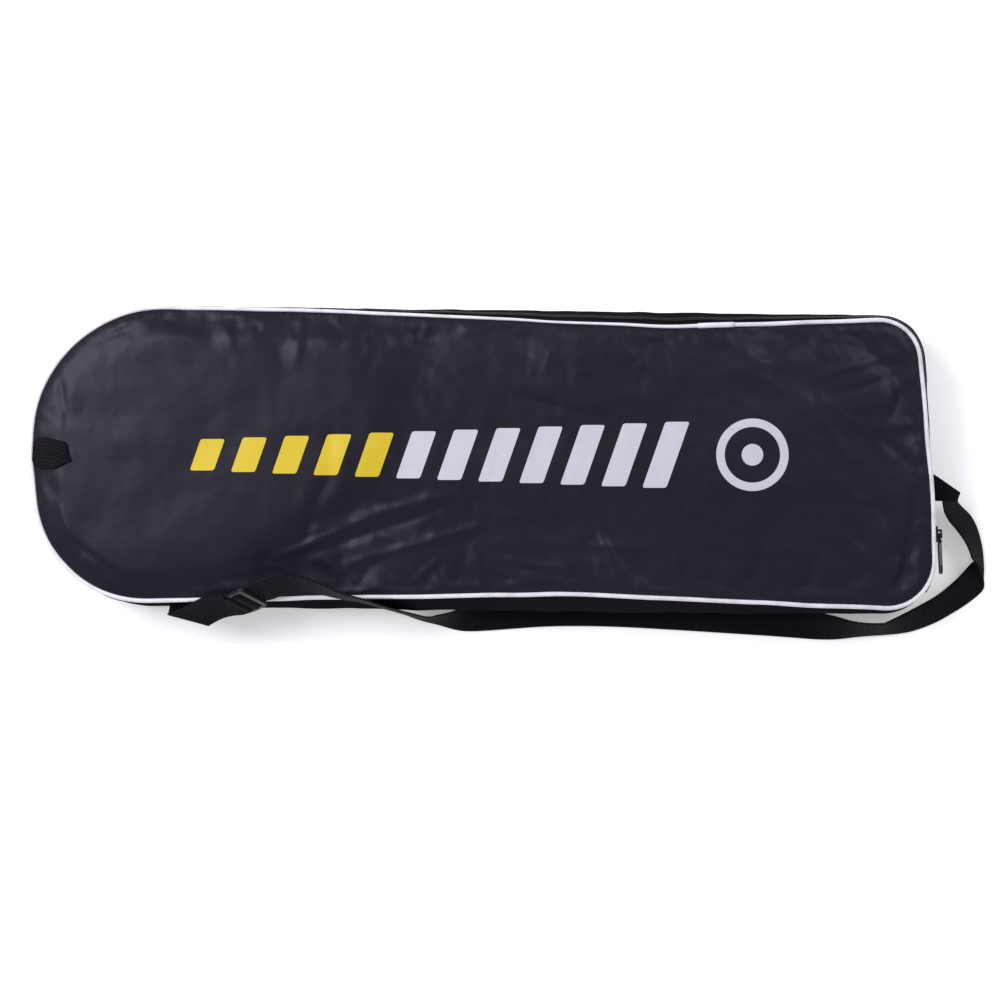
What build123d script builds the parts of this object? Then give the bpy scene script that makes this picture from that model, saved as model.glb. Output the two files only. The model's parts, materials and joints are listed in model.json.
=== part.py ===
from build123d import *
import os
from math import atan2, cos, degrees, radians, sin

# A roundnet set packed in its zipped carry bag. Millimetres. The bag lies on its back panel:
# X runs along it, Y across it, Z up. The shoulder strap lies on the -Y side.

os.makedirs("parts", exist_ok=True)

# ---- carry bag: driving dimensions ----
# corners of the sewn outline, each with the radius that rounds it
OUTLINE = [
    ((-362, 126), 98),
    ((-150, 124), 900),
    ((180, 104.5), 900),
    ((366, 115), 36),
    ((377, -130), 40),
    ((70, -114), 900),
    ((-362, -124), 84),
    ((-378, 0), 250),
]
FABRIC = 1.2
PANEL_T = 1.6
WALL_TOP = 56.6
ZIP_LOW = 31.0  # where the lower zip tape is sewn to the gusset
ZIP_MID = 45.0
COIL_H = 1.5
COIL_PROUD = 1.1
GAP = 0.15  # half the gap between the two coils
PIPE_R = 2.6
PIPE_Z = 59.3
PANEL_TOP = 60.0
PRINT_T = 0.2
PRINT_Y = 0.0
PRINT_LEFT = -243.0
PRINT_PITCH = 34.0
PRINT_BAR = 20.0
PRINT_LOW = 26.0
PRINT_GROW = 2.6
PRINT_LEAN = 0.35
PRINT_BARS = 12
PRINT_YELLOW = 5
PRINT_RING_X = 222.0
PRINT_RING_R = (30.0, 23.0)
PRINT_DOT_R = 9.0
FOLD_Y = -96.0  # the line that the front flap folds about
FOLD_GAP = 0.4
CLEAR = 0.1
FOLD_Z = PIPE_Z + PIPE_R + CLEAR
PIPE_SLEEVE_X = (177.0, 211.0)  # where a short tube covers the piping's join
PIPE_SLEEVE_T = 0.8
END_TAB_W = 9.0  # the tabs that close the zip's two ends
END_TAB_H = 18.0
END_TAB_T = 1.0
BIG = 2000.0

# ---- webbing ----
WEB_W = 25.0
WEB_T = 1.6

# ---- game pieces ----
RIM_R = 450.0
RIM_TUBE_R = 10.0
RIM_WALL = 1.6
RIM_HALF_DEG = 35.0
END_WALL_DEG = 0.3
RIM_PITCH = 25.5
RIM_APEX = (75.0, 97.0)
RIM_COUNT = 5
FLOOR = FABRIC + 0.3
LEG_COUNT = 5
LEG_LEN = 165.0
LEG_R = 10.0
LEG_PITCH = 31.0
LEG_STAGGER = 6.0
SLEEVE_R = 12.5
SLEEVE_LEN = 56.0
SOCKET_DEPTH = 24.0
FOOT_R = 11.8
FOOT_LEN = 16.0
LAYER2 = FLOOR + 2 * RIM_TUBE_R + 0.5
LEG_MID_X = 225.0
BALL_R = 44.0
BALL_H = 38.0
BALL_WALL = 2.5
BALLS = [(-326.0, -2.0), (-246.0, 45.0), (-246.0, -47.0)]
PUMP_Y = -92.0
PUMP_X = -60.0
PUMP_LEN = 130.0
PUMP_R = 14.0
PUMP_WALL = 2.2
CAP_LEN = 12.0
ROD_R = 3.6
KNOB_R = 14.0
NET = (250.0, 140.0, 20.0)
NET_AT = (-62.0, 12.0)
BAND_W = 24.0
BAND_T = 1.0


def save(shape, name):
    export_step(shape, f"parts/{name}.step")


def outline_face(inset=0.0):
    """The bag's sewn outline as a face at z=0, moved inwards by inset."""
    corners = [point for point, _ in OUTLINE]
    radii = [radius for _, radius in OUTLINE]
    face = make_face(FilletPolyline(*corners, radius=radii, close=True))
    return offset(face, -inset) if inset else face


def slab(low, high, inset=0.0):
    return Pos(0, 0, low) * extrude(outline_face(inset), high - low)


def band(low, high, inset=0.0, thick=FABRIC):
    """An upright wall that follows the outline."""
    return slab(low, high, inset) - slab(low - 1, high + 1, inset + thick)


def far_side(shape):
    """What is on the flap's side of the fold line."""
    return shape & Pos(0, FOLD_Y + FOLD_GAP + BIG / 2, 0) * Box(BIG, BIG, BIG)


def near_side(shape):
    """What stays on the bag, along the strap side."""
    return shape & Pos(0, FOLD_Y - BIG / 2, 0) * Box(BIG, BIG, BIG)


def piping(radius):
    path = Pos(0, 0, PIPE_Z) * outline_face().face().outer_wire()
    return sweep(Plane(origin=path @ 0, z_dir=path % 0) * Circle(radius), path)


def zip_slider_place(along):
    """The frame on the square end's wall: local X points out of the wall, local Y along it."""
    (top_x, top_y), (low_x, low_y) = OUTLINE[3][0], OUTLINE[4][0]
    share = (along - low_y) / (top_y - low_y)
    turn = degrees(atan2(low_x - top_x, top_y - low_y))
    return Pos(low_x + (top_x - low_x) * share, along, ZIP_MID) * Rot(0, 0, turn)


# ---- bag body ----
def coil(low):
    """One side of the zip's coil, standing a little proud of its tape."""
    return far_side(band(low, low + COIL_H, -COIL_PROUD, FABRIC + COIL_PROUD))


def panel_plate():
    return slab(PANEL_TOP - PANEL_T, PANEL_TOP, PIPE_R + CLEAR)


def bag_shell():
    save(slab(0, FABRIC), "back_panel")
    save(near_side(band(FABRIC, WALL_TOP)), "gusset_fold_side")
    save(far_side(band(FABRIC, ZIP_LOW)), "gusset_zip_side")
    save(far_side(band(ZIP_LOW, ZIP_MID - COIL_H - GAP)), "zip_tape_lower")
    save(coil(ZIP_MID - COIL_H - GAP), "zip_coil_lower")
    save(near_side(panel_plate()), "front_edge_strip")
    save(near_side(piping(PIPE_R)), "front_piping_fixed")
    stops = band(ZIP_MID - END_TAB_H / 2, ZIP_MID + END_TAB_H / 2, -END_TAB_T, END_TAB_T)
    save(stops & Pos(0, FOLD_Y - 6, ZIP_MID) * Box(BIG, END_TAB_W, BIG), "zip_end_tabs")


def front_flap():
    panel = far_side(panel_plate())
    save(panel, "front_panel")
    save(far_side(piping(PIPE_R)), "front_piping")
    save(far_side(band(ZIP_MID + COIL_H + GAP, WALL_TOP)), "zip_tape_upper")
    save(coil(ZIP_MID + GAP), "zip_coil_upper")
    sleeve = piping(PIPE_R + PIPE_SLEEVE_T) - piping(PIPE_R + 0.05)
    low, high = PIPE_SLEEVE_X
    sleeve = sleeve & Pos((low + high) / 2, BIG / 2, PIPE_Z) * Box(high - low, BIG, BIG)
    save(sleeve - panel - slab(0, WALL_TOP + CLEAR), "piping_sleeve")
    front_prints()


def slanted_bar(index):
    tall = PRINT_LOW + PRINT_GROW * index
    lean = tall * PRINT_LEAN
    corners = [(0, 0), (PRINT_BAR, 0), (PRINT_BAR + lean, tall), (lean, tall)]
    bar = make_face(Polyline(*corners, close=True))
    left = PRINT_LEFT + PRINT_PITCH * index
    return Pos(left, PRINT_Y - tall / 2, PANEL_TOP) * extrude(bar, PRINT_T)


def front_prints():
    """A plain sporting graphic: slanted bars that grow in length, then a ring with a dot."""
    yellow = [slanted_bar(i) for i in range(PRINT_YELLOW)]
    silver = [slanted_bar(i) for i in range(PRINT_YELLOW, PRINT_BARS)]
    ring_place = Pos(PRINT_RING_X, PRINT_Y, PANEL_TOP)
    outer, inner = PRINT_RING_R
    silver.append(ring_place * extrude(Circle(outer) - Circle(inner), PRINT_T))
    silver.append(ring_place * extrude(Circle(PRINT_DOT_R), PRINT_T))
    save(Compound(children=yellow), "print_yellow")
    save(Compound(children=silver), "print_silver")


# ---- zip slider and its pull ----
SLIDER_Y = -66.0
SLIDER_BODY = (3.6, 13.0, 9.5)  # out from the wall, along the zip, across it
BRIDGE = (4.3, 7.4, 2.6)
BRIDGE_EYE = (2.4, 3.6, 4.0)
BODY_OUT = 3.4
BRIDGE_OUT = 7.25
PULL_AXIS_X = 7.1  # from the zip's wall out to the pin line of the pull
LINK_BAR = 1.2
LINK_LEN = 6.4  # between the link's two upright bars
LINK_INNER_H = 4.2
KNUCKLE_R = 1.7
KNUCKLE_BORE = 0.9
PULL_LEN = 27.0
PULL_W = 6.6
PULL_HALF_T = 0.6
PULL_LEAN = 35.0  # the tongue leans, so its face shows from above
EYELET = (7.5, 3.0)
EYELET_END = 4.5  # from the eyelet's middle to the tip of the pull


def zip_slider():
    place = zip_slider_place(SLIDER_Y)
    body = Pos(BODY_OUT, 0, 0) * Box(*SLIDER_BODY)
    bridge = Pos(BRIDGE_OUT, 0, 0) * Box(*BRIDGE) - Pos(PULL_AXIS_X, 0, 0) * Box(*BRIDGE_EYE)
    save(place * (body + bridge), "zip_slider")
    link = Box(LINK_BAR, LINK_LEN + LINK_BAR, LINK_INNER_H + 2 * LINK_BAR)
    link -= Box(2 * LINK_BAR, LINK_LEN - LINK_BAR, LINK_INNER_H)
    save(place * Pos(PULL_AXIS_X, -LINK_LEN / 2, 0) * link, "pull_link")
    save(place * Pos(PULL_AXIS_X, -LINK_LEN, 0) * pull_tab(), "pull_tab")


def pull_tab():
    """A slender tongue with its knuckle at the origin and an eyelet near its tip."""
    upright = Rot(0, -PULL_LEAN, 0) * Rot(0, 90, 0) * Rot(0, 0, 90)
    plate_mid = -(PULL_LEN / 2 + LINK_BAR / 2)
    plate = upright * extrude(SlotOverall(PULL_LEN, PULL_W), PULL_HALF_T, both=True)
    eyelet = upright * extrude(SlotOverall(*EYELET), 2 * PULL_HALF_T, both=True)
    tab = Cylinder(KNUCKLE_R, LINK_INNER_H - 0.4) + Pos(0, plate_mid, 0) * plate
    tab -= Cylinder(KNUCKLE_BORE, LINK_INNER_H)
    tab -= Pos(0, plate_mid - PULL_LEN / 2 + EYELET_END, 0) * eyelet
    return tab


# ---- hang tab ----
TAB_AT = (-373.0, 1.2)
TAB_OUTLINE = [(0, -11), (24, -11), (33, -6), (24, 11), (0, 11)]  # webbing folded back at a slant
TAB_T = 2.4


def hang_tab():
    shape = make_face(Polyline(*TAB_OUTLINE, close=True))
    save(Pos(*TAB_AT, FOLD_Z + 0.3) * extrude(shape, TAB_T), "hang_tab")


# ---- shoulder strap ----
def ribbon(stations):
    """Flat webbing through stations (x, y, z, roll): roll lifts its left edge, in degrees."""
    points = [Vector(*s[:3]) for s in stations]
    sections = []
    for i, station in enumerate(stations):
        heading = (points[min(i + 1, len(points) - 1)] - points[max(i - 1, 0)]).normalized()
        side = Vector(0, 0, 1).cross(heading).normalized()
        up = heading.cross(side)
        roll = radians(station[3])
        width_dir = side * cos(roll) + up * sin(roll)
        sections.append(Plane(points[i], x_dir=width_dir, z_dir=heading) * Rectangle(WEB_W, WEB_T))
    return loft(sections, ruled=True)


# the strap turns up on its edge over the bag's rim, and again where it goes round the corner
STRAP = [
    (-194.5, -122.6, 70.4, 49),
    (-185.8, -118.0, 76.2, 49),
    (-177.0, -111.6, 75.8, 48),
    (-167, -107.4, 75.2, 54),
    (-158, -105.2, 74.8, 66),
    (-148, -105.2, 74.9, 78),
    (-135.6, -110.0, 75.0, 80),
    (-119, -116.0, 75.3, 80),
    (-103, -119.6, 75.2, 79),
    (-92, -123.6, 65.0, 80),
    (-79, -128.6, 46.0, 80),
    (-65, -133.6, 27.5, 80),
    (-50.5, -138.6, 15.6, 78),
    (-38, -139.4, 12.4, 66),
    (-25, -139.8, 9.6, 46),
    (-10, -138.2, 3.8, 12),
    (14, -136.4, 1.4, 0),
    (56, -133.2, 1.4, 0),
    (110, -133.6, 1.4, 0),
    (160, -136.4, 1.4, 0),
    (220, -140.2, 1.4, 0),
    (266, -143.2, 1.6, 2),
    (296, -146.6, 7.4, 29),
    (320, -148.8, 12.4, 62),
    (340, -147.8, 12.2, 62),
    (358, -145.2, 11.8, 57),
    (374, -139.4, 11.0, 50),
    (390, -130.6, 8.8, 36),
    (409, -118.5, 3.6, 10),
    (420.5, -107.0, 6.4, 26),
    (424.6, -95.0, 12.4, 62),
    (422, -82.5, 12.4, 62),
    (418, -71.4, 12.2, 56),
    (411.5, -60.5, 13.6, 43),
    (402, -49.5, 18.6, 28),
    (394, -38.0, 27.2, 4),
]

SEWN_END_Z = 27.0
SEWN_END = [(370, -14.5), (380, -15), (400, -31), (396, -40), (370, -40)]
ANCHOR_Z = 48.0
ANCHOR_FOLD = [(-261, -117), (-264, -132.5), (-236, -140.5), (-236, -117)]
FOLD_EDGE = (ANCHOR_FOLD[1], -15.4)  # the slanted edge that the webbing is folded back along
ANCHOR = [
    (-258, -142.0, ANCHOR_Z + 1.2, 0),
    (-243, -136.2, 53.5, 26),
    (-232, -131.8, 57.6, 34),
    (-222, -127.8, 60.4, 40),
    (-212, -126.8, 63.6, 46),
    (-205.2, -128.4, 66.4, 52),
]
ADJUSTER = (-196.5, -120.5, 67.0)
ADJUSTER_TURN = 41.0
ADJUSTER_TILT = 57.0  # it hangs half over the bag's rim
ADJUSTER_SIZE = (20.0, 31.0, 3.0)
ADJUSTER_SLOT = (4.2, 25.6)
ADJUSTER_SLOT_X = 4.0
ADJUSTER_CORNER = 3.5


def route_length(stations):
    points = [Vector(*s[:3]) for s in stations]
    return sum((b - a).length for a, b in zip(points, points[1:]))


def sewn_leaf(corners, level):
    """Flat webbing that comes out of the side wall at a level."""
    leaf = extrude(make_face(Polyline(*corners, close=True)), WEB_T)
    return Pos(0, 0, level - WEB_T / 2) * leaf - slab(0, WALL_TOP)


def shoulder_strap():
    save(ribbon(STRAP) + sewn_leaf(SEWN_END, SEWN_END_Z), "shoulder_strap")
    (fold_x, fold_y), fold_turn = FOLD_EDGE
    past_fold = Pos(fold_x, fold_y, 0) * Rot(0, 0, fold_turn) * Pos(0, -BIG / 2, 0) * Box(BIG, BIG, BIG)
    anchor = ribbon(ANCHOR) + sewn_leaf(ANCHOR_FOLD, ANCHOR_Z)
    save(anchor - past_fold, "strap_anchor")
    long, wide, thick = ADJUSTER_SIZE
    frame = RectangleRounded(long, wide, ADJUSTER_CORNER)
    for x in (-ADJUSTER_SLOT_X, ADJUSTER_SLOT_X):
        frame -= Pos(x, 0) * Rectangle(*ADJUSTER_SLOT)
    adjuster = Pos(0, 0, -thick / 2) * extrude(frame, thick)
    place = Pos(*ADJUSTER) * Rot(ADJUSTER_TILT, 0, 0) * Rot(0, 0, ADJUSTER_TURN)
    save(place * adjuster, "strap_adjuster")
    print("strap route", round(route_length(STRAP)), "anchor", round(route_length(ANCHOR)))


# ---- rim ----
def rim_tube():
    """One fifth of the rim with its crown at the origin: a tube with closed ends."""
    def hoop(radius, half_deg):
        ring = Plane.XZ * Pos(RIM_R, 0) * Circle(radius)
        return Rot(0, 0, 90 - half_deg) * revolve(ring, Axis.Z, revolution_arc=2 * half_deg)

    tube = hoop(RIM_TUBE_R, RIM_HALF_DEG) - hoop(RIM_TUBE_R - RIM_WALL, RIM_HALF_DEG - END_WALL_DEG)
    return Pos(0, -RIM_R, 0) * tube


def rim():
    tube = rim_tube()
    for i in range(RIM_COUNT):
        place = Pos(RIM_APEX[0], RIM_APEX[1] - RIM_PITCH * i, FLOOR + RIM_TUBE_R)
        save(place * tube, f"rim_tube_{i + 1}")


# ---- legs, laid head to tail over the rim tubes ----
def leg_parts():
    """Leg along X: its foot at -X, its tee sleeve at +X."""
    along_x = Rot(0, 90, 0)
    half = LEG_LEN / 2
    leg = along_x * (Cylinder(LEG_R, LEG_LEN) - Cylinder(LEG_R - RIM_WALL, LEG_LEN + 1))
    foot = Pos(-half - 1, 0, 0) * along_x * Cylinder(FOOT_R, FOOT_LEN)
    foot -= along_x * Cylinder(LEG_R, LEG_LEN)
    stem_mid = half - SOCKET_DEPTH + (SOCKET_DEPTH + SLEEVE_R) / 2
    tee_x = half + SLEEVE_R
    sleeve = Pos(stem_mid, 0, 0) * along_x * Cylinder(SLEEVE_R, SOCKET_DEPTH + SLEEVE_R)
    cross = Pos(tee_x, 0, 0) * Rot(90, 0, 0)
    sleeve += cross * Cylinder(SLEEVE_R, SLEEVE_LEN)
    sleeve -= cross * Cylinder(RIM_TUBE_R + 0.2, SLEEVE_LEN + 1)
    sleeve -= along_x * Cylinder(LEG_R, LEG_LEN)
    return {"leg": leg, "leg_foot": foot, "rim_sleeve": sleeve}


def legs():
    parts = leg_parts()
    for i in range(LEG_COUNT):
        y = LEG_PITCH * (i - (LEG_COUNT - 1) / 2)
        place = Pos(LEG_MID_X, y, LAYER2 + SLEEVE_R) * Rot(0, 0, 180 * (i % 2)) * Pos(LEG_STAGGER, 0, 0)
        for name, shape in parts.items():
            save(place * shape, f"{name}_{i + 1}")


# ---- net, balls, pump ----
NET_CORNER = 18.0
NET_ROUND = 6.0
HOOK = (16.0, 7.0)
HOOK_T = 2.4
HOOK_PITCH = 24.0
HOOK_FIRST = -108.0
HOOK_COLUMNS = (0, 1, 2, 3, 6, 7, 8, 9)
HOOK_ROWS = (-17.0, 17.0)


def net():
    long, wide, high = NET
    x, y = NET_AT
    low = LAYER2 + 1
    bundle = extrude(RectangleRounded(long, wide, NET_CORNER), high)
    bundle = Pos(x, y, low) * fillet(bundle.edges().filter_by(GeomType.LINE, reverse=True), NET_ROUND)
    hollow = Box(BAND_W + 2, wide + 0.4, high + 0.4)
    strap = Box(BAND_W, wide + 0.4 + 2 * BAND_T, high + 0.4 + 2 * BAND_T) - hollow
    save(bundle, "net")
    save(Pos(x, y, low + high / 2) * strap, "net_band")
    profile = SlotOverall(*HOOK) - Pos(-3.5, 0) * Circle(2) - Pos(4, 2) * Rectangle(5, 3.4)
    hook = Rot(0, 0, 90) * extrude(profile, HOOK_T)
    level = low + high + 0.4
    hooks = [
        Pos(x + HOOK_FIRST + HOOK_PITCH * column, y + row, level) * hook
        for column in HOOK_COLUMNS
        for row in HOOK_ROWS
    ]
    save(Compound(children=hooks), "net_hooks")


BALL_REST_R = 16.0  # how much narrower the ball's foot is than its waist
BALL_CROWN_R = 12.0
BALL_DIMPLE = 8.0


def ball():
    """A ball let down for packing: a low round body with a dimple pressed into its crown."""
    def skin(reach, low, high):
        waist = (reach, (low + high) / 2)
        foot = (reach - BALL_REST_R, low + 3)
        crown = (reach - BALL_CROWN_R, high)
        dimple = (0, high - BALL_DIMPLE)
        outer = Spline((0, low), foot, waist, crown, dimple, tangents=[(1, 0), (-1, 0)])
        profile = make_face([*outer.edges(), Line(dimple, (0, low))])
        return revolve(Plane.XZ * profile, Axis.Z)

    return skin(BALL_R, 1, BALL_H) - skin(BALL_R - BALL_WALL, 1 + BALL_WALL, BALL_H - BALL_WALL)


def balls():
    for i, (x, y) in enumerate(BALLS):
        save(Pos(x, y, FLOOR) * ball(), f"ball_{i + 1}")


PUMP_END_T = 4.0
SPIGOT = (5.0, 12.0)  # radius and length
SPIGOT_BORE = 1.2
PISTON_X = 10.0
PISTON_T = 6.0
KNOB_GAP = 0.6
KNOB_T = 9.0
NEEDLE_AT = (-2.0, 22.0, -8.5)
NEEDLE_BASE = (3.6, 9.0)
NEEDLE_PIN = (1.0, 42.0)


def rod(radius, start, end):
    return Pos((start + end) / 2, 0, 0) * Rot(0, 90, 0) * Cylinder(radius, end - start)


def pump():
    """Hand pump along X, its handle at the +X end, pushed in."""
    place = Pos(PUMP_X, PUMP_Y, FLOOR + PUMP_R + 1)
    bore = PUMP_R - PUMP_WALL
    cap_end = PUMP_LEN + CAP_LEN
    spigot_r, spigot_len = SPIGOT
    barrel = rod(PUMP_R, 0, PUMP_LEN) - rod(bore, PUMP_END_T, PUMP_LEN + 1)
    barrel += rod(spigot_r, -spigot_len, 0.5)
    barrel -= rod(SPIGOT_BORE, -spigot_len - 1, PUMP_END_T + 1)
    cap = rod(PUMP_R + 1, PUMP_LEN, cap_end) + rod(bore - 0.05, PUMP_LEN - 6, PUMP_LEN + 1)
    cap -= rod(ROD_R + CLEAR, PUMP_LEN - 8, cap_end + 1)
    knob_x = cap_end + KNOB_GAP
    plunger = rod(ROD_R, PISTON_X - 2, knob_x + 1) + rod(KNOB_R, knob_x, knob_x + KNOB_T)
    piston_end = PISTON_X + PISTON_T
    piston = rod(bore - CLEAR, PISTON_X, piston_end) - rod(ROD_R, PISTON_X - 1, piston_end + 1)
    base_r, base_len = NEEDLE_BASE
    pin_r, pin_end = NEEDLE_PIN
    needle = Pos(*NEEDLE_AT) * (rod(base_r, 0, base_len) + rod(pin_r, base_len - 0.5, pin_end))
    save(place * barrel, "pump_barrel")
    save(place * cap, "pump_cap")
    save(place * plunger, "pump_plunger")
    save(place * piston, "pump_piston")
    save(place * needle, "pump_needle")


bag_shell()
front_flap()
zip_slider()
hang_tab()
shoulder_strap()
rim()
legs()
net()
balls()
pump()
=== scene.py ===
import json
import math

import bmesh
import bpy
import numpy as np
from mathutils import Matrix, Vector, noise
from mathutils.bvhtree import BVHTree
from mathutils.geometry import delaunay_2d_cdt

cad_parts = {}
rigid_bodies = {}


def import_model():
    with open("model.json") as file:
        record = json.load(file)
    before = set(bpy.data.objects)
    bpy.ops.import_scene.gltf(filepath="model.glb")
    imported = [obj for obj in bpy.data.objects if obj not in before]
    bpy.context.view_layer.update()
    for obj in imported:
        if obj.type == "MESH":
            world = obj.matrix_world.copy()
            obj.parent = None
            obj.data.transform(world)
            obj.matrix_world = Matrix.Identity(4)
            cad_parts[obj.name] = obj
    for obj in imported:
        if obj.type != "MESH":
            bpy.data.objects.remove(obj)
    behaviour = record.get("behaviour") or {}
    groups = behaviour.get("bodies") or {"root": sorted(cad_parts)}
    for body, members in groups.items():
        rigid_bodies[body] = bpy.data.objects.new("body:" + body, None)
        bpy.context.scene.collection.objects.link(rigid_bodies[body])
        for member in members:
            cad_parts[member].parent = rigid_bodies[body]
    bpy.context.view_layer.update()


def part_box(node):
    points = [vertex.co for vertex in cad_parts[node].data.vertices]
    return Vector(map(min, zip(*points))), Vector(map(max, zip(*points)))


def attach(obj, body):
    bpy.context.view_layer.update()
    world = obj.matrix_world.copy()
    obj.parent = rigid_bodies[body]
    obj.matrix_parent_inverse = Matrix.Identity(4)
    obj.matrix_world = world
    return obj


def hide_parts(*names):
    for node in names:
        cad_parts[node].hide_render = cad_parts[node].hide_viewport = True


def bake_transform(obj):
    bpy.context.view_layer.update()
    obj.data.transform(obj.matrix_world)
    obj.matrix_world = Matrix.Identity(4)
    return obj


# A roundnet set in its zipped carry bag, lying on its back panel. Sizes here are in
# millimetres, and MM turns them into the frame's metres.
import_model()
MM = 0.001

# ---- levels read from the frame ----
PANEL_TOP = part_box("front_panel")[1].z / MM
TAPE_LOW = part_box("zip_tape_lower")[0].z / MM
ZIP_MID = (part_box("zip_coil_lower")[1].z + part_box("zip_coil_upper")[0].z) / 2 / MM
PIPE_LOW, PIPE_HIGH = (c.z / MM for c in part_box("front_piping"))
PIPE_R = (PIPE_HIGH - PIPE_LOW) / 2
PIPE_Z = (PIPE_HIGH + PIPE_LOW) / 2
FOLD_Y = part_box("front_edge_strip")[1].y / MM

# ---- the bag's sewn outlines: corners with the radius that rounds each ----
FRONT = [
    ((-371, 124.6), 112), ((-150, 120.2), 900), ((165, 106.2), 700), ((358.9, 113), 34), ((372.5, -30), 600),
    ((375, -129.4), 40), ((70, -115.2), 900), ((-363, -122.6), 92), ((-376.5, 0), 130),
]
# the side wall's fullest line, half way down, where the soft side bellies out
BELLY = [
    ((-372, 126), 112), ((-150, 125.0), 900), ((165, 121), 900), ((370.5, 118), 37), ((379.2, -30), 600),
    ((379, -134.5), 44), ((70, -132), 900), ((-364, -126), 92), ((-377, 0), 130),
]
BASE = [
    ((-367, 122), 110), ((-150, 120), 900), ((165, 112.5), 900), ((362, 113), 38), ((371, -30), 600),
    ((372, -124), 42), ((70, -116), 900), ((-358, -119), 90), ((-373, 0), 130),
]
RIM_STEP = 5.0  # spacing of the points round the rim


# ================= geometry helpers =================
def unit(v):
    return v / np.linalg.norm(v)


def unit_rows(v):
    return v / np.linalg.norm(v, axis=1)[:, None]


def headings(path, closed=False):
    """The unit direction of a line of points at each of them."""
    ahead = np.roll(path, -1, 0) if closed else np.vstack([path[1:], path[-1]])
    behind = np.roll(path, 1, 0) if closed else np.vstack([path[0], path[:-1]])
    return unit_rows(ahead - behind)


def hoop_faces(hoops, sides, closed=False):
    """Faces between hoops of points that follow one another."""
    faces = []
    for i in range(hoops if closed else hoops - 1):
        j = (i + 1) % hoops
        for k in range(sides):
            m = (k + 1) % sides
            faces.append((i * sides + k, i * sides + m, j * sides + m, j * sides + k))
    return faces


def end_caps(hoops, sides):
    """The two faces that close a row of hoops."""
    return [tuple(range(sides))[::-1], tuple((hoops - 1) * sides + k for k in range(sides))]


def fillet(before, corner, after, radius):
    """Tangent points, centre and turn of the arc that rounds a corner."""
    a, b = unit(before - corner), unit(after - corner)
    turn = math.pi - math.acos(float(np.clip(a @ b, -1, 1)))
    reach = radius * math.tan(turn / 2)
    centre = corner + unit(a + b) * radius / math.cos(turn / 2)
    return corner + a * reach, corner + b * reach, centre


def outline(corners, counts=None):
    """Points round a rounded polygon, and how many each run and arc took."""
    pts = [np.array(p, float) for p, _ in corners]
    arcs = [fillet(pts[i - 1], pts[i], pts[(i + 1) % len(pts)], corners[i][1]) for i in range(len(pts))]
    out, used = [], []
    for i, (start, end, centre) in enumerate(arcs):
        a0 = math.atan2(*(start - centre)[::-1])
        a1 = math.atan2(*(end - centre)[::-1])
        swing = (a1 - a0 + math.pi) % (2 * math.pi) - math.pi
        next_start = arcs[(i + 1) % len(arcs)][0]
        radius = corners[i][1]
        n_arc = counts[2 * i] if counts else max(2, round(abs(swing) * radius / RIM_STEP))
        n_run = counts[2 * i + 1] if counts else max(1, round(np.linalg.norm(next_start - end) / RIM_STEP))
        used += [n_arc, n_run]
        for k in range(n_arc):
            a = a0 + swing * k / n_arc
            out.append(centre + radius * np.array([math.cos(a), math.sin(a)]))
        for k in range(n_run):
            out.append(end + (next_start - end) * k / n_run)
    return np.array(out), used


def normals_of(loop):
    """Outward unit normals of a closed loop that runs clockwise."""
    tangent = np.roll(loop, -1, 0) - np.roll(loop, 1, 0)
    return unit_rows(np.stack([-tangent[:, 1], tangent[:, 0]], 1))


def wave(*at, scale=1.0, seed=0.0):
    """Smooth noise from -1 to 1 at a place in millimetres."""
    p = Vector([a / scale for a in (*at, 0, 0)[:3]]) + Vector((seed, seed * 0.7, -seed))
    return noise.noise(p)


def mesh_object(name, verts, faces, uvs=None):
    """verts in millimetres."""
    mesh = bpy.data.meshes.new(name)
    mesh.from_pydata([tuple(c * MM for c in v) for v in verts], [], [tuple(f) for f in faces])
    mesh.update()
    mesh.polygons.foreach_set("use_smooth", [True] * len(mesh.polygons))
    if uvs is not None:
        layer = mesh.uv_layers.new(name="UVMap")
        for loop in mesh.loops:
            layer.data[loop.index].uv = [c * MM for c in uvs[loop.vertex_index]]
    obj = bpy.data.objects.new(name, mesh)
    bpy.context.scene.collection.objects.link(obj)
    return obj


def applied(obj):
    """The object with its modifiers made real."""
    dg = bpy.context.evaluated_depsgraph_get()
    mesh = bpy.data.meshes.new_from_object(obj.evaluated_get(dg))
    obj.modifiers.clear()
    obj.data = mesh
    return obj


def subdivided(obj):
    m = obj.modifiers.new("smooth", "SUBSURF")
    m.levels = m.render_levels = 1
    return applied(obj)


def solidify(obj, thick, offset=-1):
    m = obj.modifiers.new("thickness", "SOLIDIFY")
    m.thickness, m.offset = thick * MM, offset
    return applied(obj)


HEX_ROW = 0.866  # between the rows of an even field of triangles with sides of 1


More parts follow.
